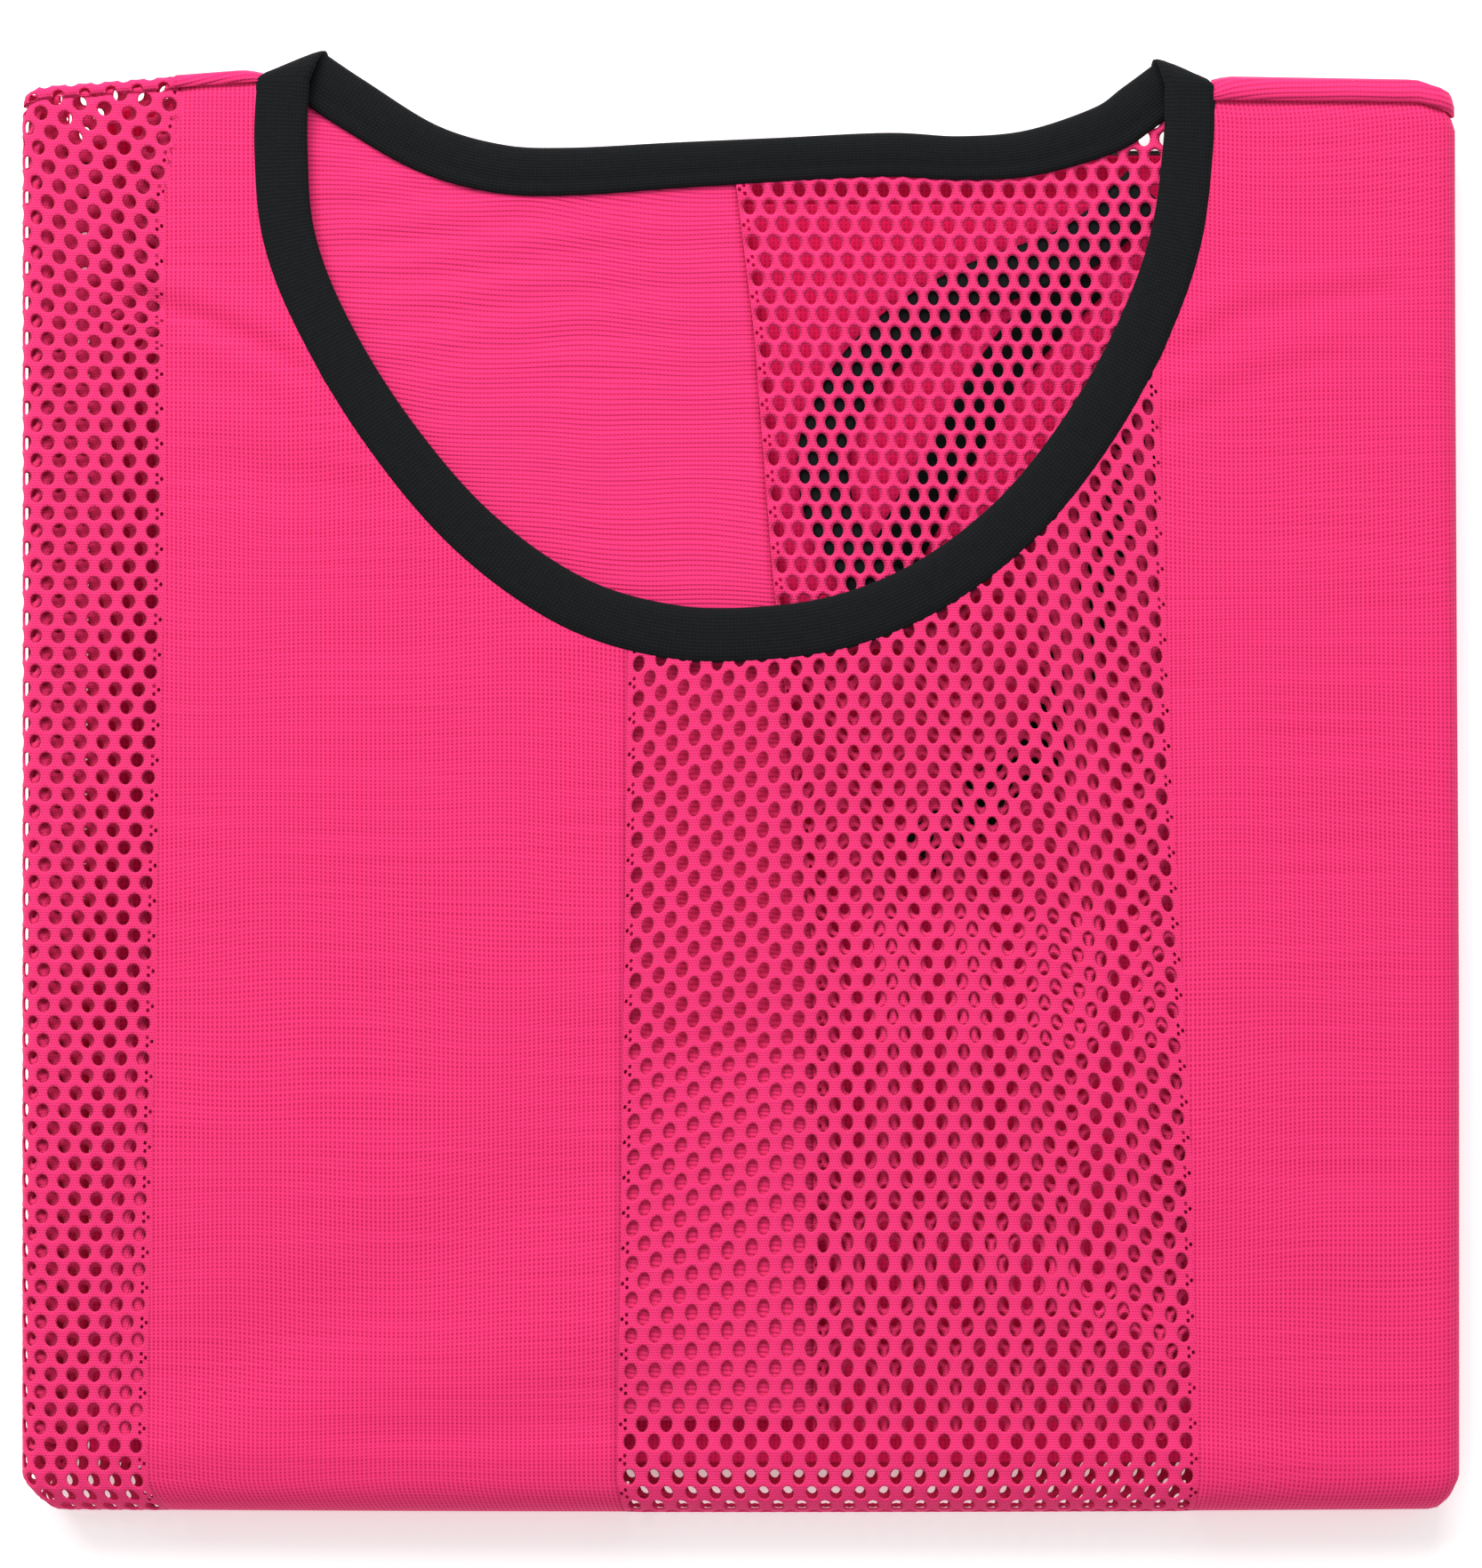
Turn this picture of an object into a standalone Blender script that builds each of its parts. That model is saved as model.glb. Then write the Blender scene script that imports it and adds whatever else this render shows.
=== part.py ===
"""Mesh training bib, folded flat with its front up. Metres, +Z up, neck towards +Y.

The sides are folded behind, then the lower half is folded up behind the upper half, so the front panel
covers the top face, the side folds, the bottom fold and the underside. The origin is under the middle.
"""
import math

import bmesh
import bpy
from mathutils import Vector

MM = 0.001

# Driving sizes of the folded bib, in millimetres
STACK = 17.0              # height of the whole folded bib
WALL = 1.0                # one layer of the knitted cloth
SEAM_GAP = 0.3            # between two sewn pieces
LAYER_GAP = 0.6           # between two layers that lie on each other and crease together
LEFT_EDGE, RIGHT_EDGE = -150.0, 149.4
FOLD_LINE = -143.5        # where the lower half starts to turn behind
HALF = STACK / 2
ROLL = (HALF - 0.4) / 2   # outer radius of each side fold
FRONT_FLAP, BACK_FLAP = 5.0, 3.0   # how far each panel runs on behind its side fold
BACK_INSET = 2.0          # back panel's upper face below the front panel's outer face
SHOULDER_ROLL = (BACK_INSET + WALL) / 2
HEM_TOP, HEM_WIDTH = 134.0, 11.0
HEM_WALL, INNER_HEM_WALL = 2.0, 1.2
BINDING_WALL = 2.0
SHOULDER_BULGE = 3.0      # how far the neck binding stands out where it turns over the shoulder

ROLL_STEPS = 6
FOLD_STEPS = 7
# Rows of the upper sheets, as shares of the way from the shoulder to the bottom fold
DOWN_SHARES = (0.0, 0.02, 0.05, 0.1, 0.15, 0.2, 0.26, 0.33, 0.4, 0.48, 0.56, 0.64, 0.72, 0.8, 0.87, 0.93, 1.0)
BACK_SHARE = 0.98         # where the back panel ends, inside the bottom fold

PINK = (0.82, 0.040, 0.185, 1.0)
BLACK = (0.008, 0.008, 0.010, 1.0)

# Top edge of the shoulders: x, y of the crest, and how far down the front the seam lies
SHOULDER = (
    # x, crest, seam_drop
    (-150.0, 143.4, 2.6),
    (-146.0, 144.8, 2.6),
    (-101.0, 148.2, 2.6),
    (0.0, 148.4, 3.6),
    (97.0, 146.6, 4.8),
    (140.0, 146.0, 4.6),
    (146.0, 144.2, 4.4),
    (150.0, 141.5, 4.2),
)

# Centre line of the front part of the neck binding, left shoulder to right shoulder
NECK_FRONT = (
    # x, y, width, level below the panel's outer face
    (-95.4, 146.0, 11.0, 0.3),
    (-95.9, 132.0, 11.2, 0.3),
    (-94.2, 113.4, 11.0, 0.3),
    (-87.0, 94.8, 10.7, 0.3),
    (-73.6, 72.8, 10.8, 0.3),
    (-56.2, 52.4, 11.0, 0.3),
    (-35.8, 37.8, 11.2, 0.3),
    (-15.6, 31.5, 11.4, 0.3),
    (3.7, 31.0, 11.3, 0.3),
    (22.5, 34.0, 11.4, 0.3),
    (40.6, 42.0, 11.4, 0.3),
    (57.8, 55.6, 11.4, 0.3),
    (72.2, 73.8, 11.4, 0.3),
    (83.2, 93.7, 11.2, 0.3),
    (90.0, 112.8, 10.9, 0.3),
    (92.6, 132.2, 10.6, 0.3),
    (92.9, 144.8, 10.4, 0.3),
)

# Centre line of its back part, right shoulder to left shoulder
NECK_BACK = (
    # x, y, width, level below the panel's outer face
    (88.4, 145.2, 10.6, 3.6),
    (82.4, 140.6, 10.8, 3.3),
    (75.4, 136.0, 10.4, 3.1),
    (60.0, 131.2, 9.6, 2.7),
    (45.2, 130.1, 9.2, 2.6),
    (30.4, 130.8, 9.2, 2.6),
    (8.3, 129.8, 9.2, 2.6),
    (-13.9, 128.6, 9.6, 2.6),
    (-36.0, 127.3, 10.0, 2.6),
    (-50.6, 127.9, 10.2, 2.7),
    (-65.8, 132.3, 10.4, 3.1),
    (-81.4, 141.6, 11.0, 3.3),
    (-89.4, 147.0, 11.0, 3.6),
)

# Soft creases of the upper sheets, each from one point to another
CREASES = (
    # x0, y0, x1, y1, half width, height
    (-124.0, 99.0, -92.0, 84.0, 8.0, -0.9),
    (-128.0, 108.0, -96.0, 96.0, 9.0, 0.6),
    (-105.0, 64.0, -78.0, 58.0, 9.0, -0.6),
    (88.0, 91.0, 134.0, 102.0, 9.0, -0.8),
    (90.0, 80.0, 128.0, 86.0, 9.0, 0.5),
    (-118.0, -138.0, -30.0, -112.0, 12.0, 0.7),
    (-100.0, -108.0, -45.0, -84.0, 12.0, -0.6),
    (30.0, -6.0, 92.0, 18.0, 10.0, -0.6),
    (-20.0, -60.0, 60.0, -46.0, 12.0, -0.5),
)

# Right armhole's binding, folded in behind the back panel: its outer edge, inner edge and lower end
ARMHOLE_OUTER = ((84.0, 124.0), (70.0, 111.5), (49.0, 103.5), (34.0, 95.0), (24.0, 85.0),
                 (17.5, 73.0), (17.0, 62.0), (21.0, 50.0), (30.0, 40.0))
ARMHOLE_INNER = ((72.0, 106.0), (58.0, 91.5), (45.5, 72.5), (37.5, 58.0), (30.0, 44.0))
ARMHOLE_LOWER = ((85.0, 72.0), (73.0, 44.5), (66.0, 14.0), (52.0, -2.0), (37.0, -15.0))
ARMHOLE_WIDTH, ARMHOLE_WALL = 10.5, 1.0

# Hidden layers: from, to, and the far end of each group, in height order
LAYER_GROUPS = (
    # bottom, top, layers, end
    (1.5, 3.9, 2, 121.4),
    (3.9, 8.3, 4, 131.6),
    (8.3, 11.0, 2, None),   # runs up into the shoulders and dips behind the neck
)
LAYER_SIDE, LAYER_FOOT, LAYER_GROOVE, LAYER_CORNER = 136.5, -142.0, 0.6, 4.0


def remove_scene_objects():
    for old in list(bpy.data.objects):
        bpy.data.objects.remove(old, do_unlink=True)


def make_collection(name):
    collection = bpy.data.collections.new(name)
    bpy.context.scene.collection.children.link(collection)
    return collection


def make_material(name, colour, roughness):
    material = bpy.data.materials.new(name)
    material.use_nodes = True
    shader = material.node_tree.nodes["Principled BSDF"]
    shader.inputs["Base Color"].default_value = colour
    shader.inputs["Roughness"].default_value = roughness
    shader.inputs["Metallic"].default_value = 0.0
    return material


def lerp(a, b, t):
    return a + (b - a) * t


def smooth(t):
    t = min(1.0, max(0.0, t))
    return t * t * (3 - 2 * t)


def table_value(table, x, column):
    """Straight-line value of one column of a table whose first column is x."""
    if x <= table[0][0]:
        return table[0][column]
    for low, high in zip(table, table[1:]):
        if x <= high[0]:
            return lerp(low[column], high[column], (x - low[0]) / (high[0] - low[0]))
    return table[-1][column]


def crest(x):
    return table_value(SHOULDER, x, 1)


def seam(x):
    return crest(x) - table_value(SHOULDER, x, 2)


def spline(rows, steps):
    """Catmull-Rom samples through the rows of a table, all columns at once."""
    samples = []
    last = len(rows) - 1
    for i in range(last):
        before, start, end, after = rows[max(i - 1, 0)], rows[i], rows[i + 1], rows[min(i + 2, last)]
        for k in range(steps):
            t = k / steps
            samples.append(tuple(
                0.5 * (2 * b + (c - a) * t + (2 * a - 5 * b + 4 * c - d) * t * t
                       + (3 * b - a - 3 * c + d) * t ** 3)
                for a, b, c, d in zip(before, start, end, after)))
    samples.append(tuple(rows[last]))
    return samples


# Neck binding: one strip, up the left of the back, round the front and over both shoulders

def strip_stations(rows, steps, free_side):
    """Centre, direction to the free edge, and width along a level stretch of the strip."""
    samples = spline(rows, steps)
    stations = []
    for i, (x, y, width, level) in enumerate(samples):
        before, after = samples[max(i - 1, 0)], samples[min(i + 1, len(samples) - 1)]
        heading = math.atan2(after[1] - before[1], after[0] - before[0])
        stations.append((Vector((x, y, STACK - level)), heading + free_side * math.pi / 2, width))
    return stations


def shoulder_turn(start, end, steps):
    """Stations that take the strip over the shoulder, from one level stretch to the next."""
    (from_point, from_angle, from_width), (to_point, to_angle, to_width) = start, end
    turn = (to_angle - from_angle + math.pi) % (2 * math.pi) - math.pi
    stations = []
    for k in range(1, steps):
        t = k / steps
        point = from_point.lerp(to_point, t)
        point.y += SHOULDER_BULGE * math.sin(math.pi * t)
        point.z = (from_point.z + to_point.z) / 2
        point.z += (from_point.z - to_point.z) / 2 * math.cos(math.pi * t)
        stations.append((point, from_angle + turn * t, lerp(from_width, to_width, t)))
    return stations


def binding_stations():
    front = strip_stations(NECK_FRONT, 3, 1)
    back = strip_stations(NECK_BACK, 3, -1)
    return front + shoulder_turn(front[-1], back[0], 5) + back + shoulder_turn(back[-1], front[0], 5)


def cloth_edge(rows, free_side):
    """Plan outline of the strip's sewn edge, a seam gap further out."""
    edge = []
    for point, angle, width in strip_stations(rows, 3, free_side):
        reach = width / 2 + SEAM_GAP
        edge.append((point.x - reach * math.cos(angle), point.y - reach * math.sin(angle)))
    return edge


# Rounded, thicker at the free edge and thinner along the sewn edge: across, up
BINDING_SECTION = ((-0.5, 0.0), (-0.42, 0.30), (-0.22, 0.34), (-0.08, 0.50), (0.24, 0.50), (0.45, 0.30),
                   (0.5, 0.0), (0.45, -0.30), (0.24, -0.50), (-0.08, -0.50), (-0.30, -0.40))


def add_object(name, mesh, material, collection):
    mesh.materials.append(material)
    piece = bpy.data.objects.new(name, mesh)
    collection.objects.link(piece)
    return piece


def loft(name, rings, closed, material, collection):
    """Closed skin over rings of equal size; an open run gets a cap at each end."""
    shape = bmesh.new()
    loops = [[shape.verts.new(point * MM) for point in ring] for ring in rings]
    pairs = list(zip(loops, loops[1:]))
    if closed:
        pairs.append((loops[-1], loops[0]))
    for ring, following in pairs:
        for i in range(len(ring)):
            j = (i + 1) % len(ring)
            shape.faces.new((ring[i], ring[j], following[j], following[i]))
    if not closed:
        shape.faces.new(loops[0])
        shape.faces.new(loops[-1])
    bmesh.ops.recalc_face_normals(shape, faces=shape.faces)
    mesh = bpy.data.meshes.new(name)
    shape.to_mesh(mesh)
    shape.free()
    mesh.shade_smooth()
    mesh.set_sharp_from_angle(angle=math.radians(50))
    return add_object(name, mesh, material, collection)


def make_neck_binding(material, collection):
    stations = binding_stations()
    count = len(stations)
    rings = []
    for i, (centre, angle, width) in enumerate(stations):
        along = (stations[(i + 1) % count][0] - stations[i - 1][0]).normalized()
        across = Vector((math.cos(angle), math.sin(angle), 0.0))
        up = across.cross(along).normalized()
        rings.append([centre + across * width * a + up * BINDING_WALL * u for a, u in BINDING_SECTION])
    return loft("neck_binding", rings, True, material, collection)


# Panels: a cross-section from one side fold to the other, swept down the bib and round the bottom fold

def section_columns(flap, flats):
    """Columns across a panel: zone and its value (flap length, fold angle, or share of the flat)."""
    angles = [180.0 * (1 - k / ROLL_STEPS) for k in range(ROLL_STEPS)]
    columns = [("flap_left", flap)]
    columns += [("roll_left", a) for a in angles]
    columns += [("flat", k / flats) for k in range(flats + 1)]
    columns += [("roll_right", a) for a in reversed(angles)]
    columns.append(("flap_right", flap))
    return columns


def section_point(column, left, right, inset):
    """x, and depth below the flat outer face, of a point that lies inset under that face."""
    zone, value = column
    radius = ROLL - inset
    if zone == "flat":
        return lerp(left + ROLL, right - ROLL, value), inset
    sign = -1 if zone.endswith("left") else 1
    centre = left + ROLL if sign < 0 else right - ROLL
    if zone.startswith("roll"):
        turn = math.radians(value)
        return centre + sign * radius * math.sin(turn), ROLL - radius * math.cos(turn)
    return centre - sign * value, ROLL + radius


def fold_line(x):
    """The bottom fold bows down a little towards the middle."""
    return FOLD_LINE - 0.6 * (1 - (x / 150.0) ** 2)


def neck_clearance(x, y, edge):
    return min(math.hypot(x - a, y - b) for a, b in edge)


def relief(x, y, edge):
    """Height of the soft creases of the upper sheets, fading out at the neck and the folds."""
    height = 0.0
    for x0, y0, x1, y1, half, rise in CREASES:
        along = Vector((x1 - x0, y1 - y0))
        place = Vector((x - x0, y - y0))
        share = min(1.0, max(0.0, place.dot(along) / along.length_squared))
        off = (place - along * share).length
        height += rise * smooth(1 - off / (half * 1.6))
    fade = smooth(neck_clearance(x, y, edge) / 9.0)
    fade *= smooth((x - LEFT_EDGE - 8) / 14) * smooth((RIGHT_EDGE - 8 - x) / 14)
    fade *= smooth((y - FOLD_LINE) / 12) * smooth((seam(x) - y) / 12)
    return height * fade


def edges_at(y, turn):
    """Side edges of the panel: the shoulder corner and the bottom fold's corners pull in."""
    shoulder = smooth((y - 136.0) / 12.0)
    left = LEFT_EDGE + 0.4 * shoulder + 4.2 * (1 - math.cos(turn))
    right = RIGHT_EDGE - 0.8 * smooth((y + 60) / 190) - 1.6 * shoulder - 2.0 * (1 - math.cos(turn))
    return left, right


def sheet(name, grid, thickness, material, collection):
    """Open grid of points, given its thickness on the inner side."""
    shape = bmesh.new()
    rows = [[shape.verts.new(point * MM) for point in row] for row in grid]
    for upper, lower in zip(rows, rows[1:]):
        for j in range(len(upper) - 1):
            shape.faces.new((upper[j], lower[j], lower[j + 1], upper[j + 1]))
    mesh = bpy.data.meshes.new(name)
    shape.to_mesh(mesh)
    shape.free()
    mesh.shade_smooth()
    piece = add_object(name, mesh, material, collection)
    wall = piece.modifiers.new("wall", "SOLIDIFY")
    wall.thickness = thickness * MM
    wall.offset = -1
    wall.use_even_offset = True
    wall.use_quality_normals = True
    return piece


def panel_point(column, end_y, turn, inset, edge):
    """A panel point; end_y gives y from x on a level stretch, turn is the angle round the bottom fold."""
    guess = end_y(0.0)
    left, right = edges_at(guess, math.sin(turn) * math.pi / 2)
    x, depth = section_point(column, left, right, inset)
    reach = HALF - depth
    y = end_y(x) - math.sin(turn) * reach
    z = HALF + math.cos(turn) * reach
    if turn == 0.0 and column[0] == "flat":
        z += relief(x, y, edge)
    return Vector((x, y, z))


def make_front_panel(material, collection, edge):
    columns = section_columns(FRONT_FLAP, 20)
    hem_edge = HEM_TOP - HEM_WIDTH - SEAM_GAP
    grid = []
    for share in DOWN_SHARES:
        line = lambda x, s=share: lerp(seam(x) - SEAM_GAP, fold_line(x), s)
        grid.append([panel_point(c, line, 0.0, 0.0, edge) for c in columns])
    for k in range(1, FOLD_STEPS):
        turn = math.pi * k / FOLD_STEPS
        grid.append([panel_point(c, fold_line, turn, 0.0, edge) for c in columns])
    for share in (0.0, 0.5, 1.0):
        line = lambda x, s=share: lerp(fold_line(x), hem_edge, s)
        grid.append([panel_point(c, line, math.pi, 0.0, edge) for c in columns])
    return sheet("front_panel", grid, WALL, material, collection)


def make_back_panel(material, collection, edge):
    columns = section_columns(BACK_FLAP, 20)
    lower_face = BACK_INSET + WALL
    grid = []
    for share in [BACK_SHARE] + [s for s in reversed(DOWN_SHARES) if s < BACK_SHARE]:
        line = lambda x, s=share: lerp(crest(x) - SHOULDER_ROLL, fold_line(x), s)
        grid.append([panel_point(c, line, 0.0, lower_face, edge) for c in columns])
    for k in range(1, 5):
        turn = math.pi * k / 5
        line = lambda x, a=turn: crest(x) - SHOULDER_ROLL * (1 - math.sin(a))
        inset = SHOULDER_ROLL * (1 + math.cos(turn))
        grid.append([panel_point(c, line, 0.0, inset, edge) for c in columns])
    for share in (0.0, 1.0):
        line = lambda x, s=share: lerp(crest(x) - SHOULDER_ROLL, seam(x), s)
        grid.append([panel_point(c, line, 0.0, 0.0, edge) for c in columns])
    return sheet("back_panel", grid, WALL, material, collection)


def make_hem_binding(name, outer, wall, top, material, collection, edge):
    """Hem binding of the folded-up lower half, on the same section as the panel."""
    columns = section_columns(FRONT_FLAP if outer == 0 else BACK_FLAP, 6)
    grid = []
    for share, pinch in ((0.0, 0.3), (0.06, 0.0), (0.94, 0.0), (1.0, 0.3)):
        line = lambda x, s=share: lerp(top - HEM_WIDTH, top, s)
        grid.append([panel_point(c, line, math.pi, outer + pinch, edge) for c in columns])
    return sheet(name, grid, wall, material, collection)


def make_cutter(name, outline, low, high, collection):
    shape = bmesh.new()
    face = shape.faces.new([shape.verts.new(Vector((x, y, low)) * MM) for x, y in outline])
    pulled = bmesh.ops.extrude_face_region(shape, geom=[face])["geom"]
    lifted = [item for item in pulled if isinstance(item, bmesh.types.BMVert)]
    bmesh.ops.translate(shape, verts=lifted, vec=Vector((0, 0, (high - low) * MM)))
    bmesh.ops.recalc_face_normals(shape, faces=shape.faces)
    mesh = bpy.data.meshes.new(name)
    shape.to_mesh(mesh)
    shape.free()
    cutter = bpy.data.objects.new(name, mesh)
    collection.objects.link(cutter)
    cutter.hide_render = True
    cutter.display_type = "WIRE"
    return cutter


def cut(piece, cutter):
    opening = piece.modifiers.new("neck", "BOOLEAN")
    opening.operation = "DIFFERENCE"
    opening.solver = "EXACT"
    opening.object = cutter


# Hidden layers: a stack of rounded leaves that share one solid

def layers_end(x, end):
    """Far end of the hidden layers at x; the upper ones follow the shoulders and the back of the neck."""
    if end is not None:
        return end
    shoulder = crest(x) - SHOULDER_ROLL * 2 - 1.0
    behind_neck = 121.0
    inside = smooth((104.0 - abs(x)) / 10.0)
    return lerp(shoulder, behind_neck, inside)


def layer_outline(end, inset):
    side = LAYER_SIDE - inset
    foot = LAYER_FOOT + inset
    across = 26
    outline = [(-side + LAYER_CORNER, foot), (side - LAYER_CORNER, foot)]
    outline += [(side - 1.2, foot + 1.2), (side, foot + LAYER_CORNER), (side, 0.0), (side, 110.0)]
    for k in range(across + 1):
        x = lerp(side, -side, k / across)
        corner = 3.0 if k in (0, across) else 0.0
        outline.append((x, layers_end(x, end) - inset - corner))
    outline += [(-side, 110.0), (-side, 0.0), (-side, foot + LAYER_CORNER), (-side + 1.2, foot + 1.2)]
    return outline


def make_folded_layers(material, collection):
    rings = []
    for bottom, top, layers, end in LAYER_GROUPS:
        step = (top - bottom) / layers
        for k in range(layers):
            low = bottom + step * k
            for rise, inset in ((0.04, LAYER_GROOVE), (0.3, 0.0), (0.74, 0.0), (0.96, LAYER_GROOVE)):
                z = low + step * rise
                rings.append([Vector((x, y, z)) for x, y in layer_outline(end, inset)])
    return loft("folded_layers", rings, False, material, collection)


def make_armhole_strip(name, route, top, material, collection, edge):
    """Flat strip just under the back panel, following the creases above it."""
    samples = spline(route, 3)
    rings = []
    for i, (x, y) in enumerate(samples):
        before, after = samples[max(i - 1, 0)], samples[min(i + 1, len(samples) - 1)]
        heading = math.atan2(after[1] - before[1], after[0] - before[0])
        across = Vector((-math.sin(heading), math.cos(heading), 0.0)) * ARMHOLE_WIDTH
        up = Vector((0.0, 0.0, ARMHOLE_WALL))
        middle = Vector((x, y, top - ARMHOLE_WALL / 2 + relief(x, y, edge)))
        rings.append([middle + across * a + up * u for a, u in
                      ((-0.5, 0.0), (-0.38, 0.5), (0.38, 0.5), (0.5, 0.0), (0.38, -0.5), (-0.38, -0.5))])
    return loft(name, rings, False, material, collection)


def build():
    remove_scene_objects()
    bib = make_collection("mesh_training_bib")
    cutters = make_collection("cutters")
    pink = make_material("pink_cloth", PINK, 0.75)
    black = make_material("black_binding", BLACK, 0.7)

    front_edge = cloth_edge(NECK_FRONT, 1)
    back_edge = cloth_edge(NECK_BACK, -1)
    far = 170.0

    front = make_front_panel(pink, bib, front_edge)
    back = make_back_panel(pink, bib, front_edge)
    front_outline = [(front_edge[0][0], far)] + front_edge + [(front_edge[-1][0], far)]
    left, right = front_edge[0][0], front_edge[-1][0]
    back_outline = [(right, far), (right, back_edge[0][1])] + back_edge
    back_outline += [(left, back_edge[-1][1]), (left, far)]
    neck_front = make_cutter("cutter_neck_front", front_outline, STACK - 1.55, STACK + 4, cutters)
    neck_back = make_cutter("cutter_neck_back", back_outline, STACK - 5.5, STACK + 4, cutters)
    cut(front, neck_front)
    cut(back, neck_front)
    cut(back, neck_back)

    make_neck_binding(black, bib)
    make_hem_binding("hem_binding_front", 0.0, HEM_WALL, HEM_TOP, black, bib, front_edge)
    inner = HEM_WALL + SEAM_GAP
    make_hem_binding("hem_binding_back", inner, INNER_HEM_WALL, HEM_TOP - 0.8, black, bib, front_edge)
    make_folded_layers(pink, bib)

    under_back = STACK - BACK_INSET - WALL - LAYER_GAP
    make_armhole_strip("armhole_binding_outer", ARMHOLE_OUTER, under_back, black, bib, front_edge)
    make_armhole_strip("armhole_binding_lower", ARMHOLE_LOWER, under_back, black, bib, front_edge)
    under_outer = under_back - ARMHOLE_WALL - SEAM_GAP
    make_armhole_strip("armhole_binding_inner", ARMHOLE_INNER, under_outer, black, bib, front_edge)


build()
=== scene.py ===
# %% [markdown]
# # A mesh training bib, folded flat
#
# The bib is one big loop of knitted cloth: a front and a back, with woven-in stripes of open mesh,
# and a black knitted binding round the neck, the armholes and the hem. Here its sides are folded
# behind, and its lower half is folded up behind the upper half. This lesson dresses the packed
# solids with thin cloth: the solids say where each layer lies, and the cloth brings the holes,
# the stitches and the creases. Every length in the lesson is in millimetres until a mesh is made.

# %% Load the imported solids
import math

import bmesh
import bpy
import numpy as np
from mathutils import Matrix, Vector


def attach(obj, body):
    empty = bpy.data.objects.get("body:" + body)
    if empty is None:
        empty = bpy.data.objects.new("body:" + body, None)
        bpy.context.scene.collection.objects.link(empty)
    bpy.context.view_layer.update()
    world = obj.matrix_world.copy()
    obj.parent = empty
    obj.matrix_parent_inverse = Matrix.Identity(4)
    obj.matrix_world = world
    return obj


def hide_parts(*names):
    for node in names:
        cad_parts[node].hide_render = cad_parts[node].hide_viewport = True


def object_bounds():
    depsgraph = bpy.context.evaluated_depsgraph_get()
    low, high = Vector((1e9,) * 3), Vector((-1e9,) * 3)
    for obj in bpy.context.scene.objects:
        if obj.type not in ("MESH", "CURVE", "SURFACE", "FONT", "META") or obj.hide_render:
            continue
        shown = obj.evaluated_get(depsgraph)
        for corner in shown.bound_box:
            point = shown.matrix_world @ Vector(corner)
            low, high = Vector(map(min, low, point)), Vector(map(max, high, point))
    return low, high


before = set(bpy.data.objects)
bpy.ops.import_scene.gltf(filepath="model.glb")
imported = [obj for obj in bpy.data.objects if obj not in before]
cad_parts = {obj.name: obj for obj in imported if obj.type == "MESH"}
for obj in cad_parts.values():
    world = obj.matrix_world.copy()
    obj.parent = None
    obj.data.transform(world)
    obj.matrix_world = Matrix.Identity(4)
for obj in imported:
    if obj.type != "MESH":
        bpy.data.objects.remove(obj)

MM = 0.001
cad_low, cad_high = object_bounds()
print("solids, mm:", [round(side / MM, 1) for side in cad_high - cad_low])

# %% [markdown]
# ## How the cloth is folded
#
# Each sheet of cloth is described in its own flat coordinates: `u` runs across the bib and `v`
# along it, in millimetres of cloth. One function takes those to a place in space: flat on top,
# round the bottom fold, along the underside, and round the two side folds. Everything that lies
# on the sheet, such as a hole or a stitch, is laid out flat first and then folded with it, which
# is what happens to the real one.

# %% Sizes of the folded stack
STACK = 17.0
HALF = STACK / 2
ROLL = (HALF - 0.4) / 2                 # outer radius of a side fold
LEFT_EDGE, RIGHT_EDGE = -150.0, 149.4
FOLD_LINE = -143.5                      # where the cloth starts to turn behind
FLAT_LEFT, FLAT_RIGHT = LEFT_EDGE + ROLL, RIGHT_EDGE - ROLL
FRONT_FLAP = 5.0                        # cloth behind each side fold
CLOTH = 0.55                            # thickness of one layer
BACK_DEPTH = 3.0                        # outer face of the back panel below that of the front
SHOULDER_ROLL = BACK_DEPTH / 2
HEM_TOP, HEM_WIDTH = 134.0, 11.0
UNDER = math.pi * HALF                  # cloth round the bottom fold
SHOULDER = np.array((
    # x, crest, seam below the crest
    (-150.0, 143.4, 2.6), (-146.0, 144.8, 2.6), (-101.0, 148.2, 2.6), (0.0, 148.4, 3.6),
    (97.0, 146.6, 4.8), (140.0, 146.0, 4.6), (146.0, 144.2, 4.4), (150.0, 141.5, 4.2),
))

# %% Helpers for the fold
def ease(share):
    share = np.clip(share, 0.0, 1.0)
    return share * share * (3 - 2 * share)


def crest(x):
    return np.interp(x, SHOULDER[:, 0], SHOULDER[:, 1])


def seam(x):
    return crest(x) - np.interp(x, SHOULDER[:, 0], SHOULDER[:, 2])


def fold_line(x):
    """The bottom fold bows down a little towards the middle."""
    return FOLD_LINE - 0.6 * (1 - (x / 150.0) ** 2)


def side_edges(y, turn):
    """Left and right edge of the bib: its corners pull in at the shoulder and at the bottom fold."""
    shoulder = ease((y - 136.0) / 12.0)
    pull = 1 - np.cos(np.sin(turn) * math.pi / 2)
    left = LEFT_EDGE + 0.4 * shoulder + 4.2 * pull
    right = RIGHT_EDGE - 0.8 * ease((y + 60) / 190) - 1.6 * shoulder - 2.0 * pull
    return left, right


def across_fold(u, left, right, depth, bend):
    """x, and depth under the top, of cloth at u that lies depth inside a side fold of radius bend."""
    share = (u - FLAT_LEFT) / (FLAT_RIGHT - FLAT_LEFT)
    x = left + ROLL + np.clip(share, 0, 1) * (right - left - 2 * ROLL)
    past = np.maximum(FLAT_LEFT - u, 0) + np.maximum(u - FLAT_RIGHT, 0)
    outwards = np.where(u < 0, -1.0, 1.0)
    turn = np.minimum(past / bend, math.pi)
    flap = np.maximum(past - math.pi * bend, 0)
    x = x + outwards * ((ROLL - depth) * np.sin(turn) - flap)
    return x, ROLL - (ROLL - depth) * np.cos(turn)

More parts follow.
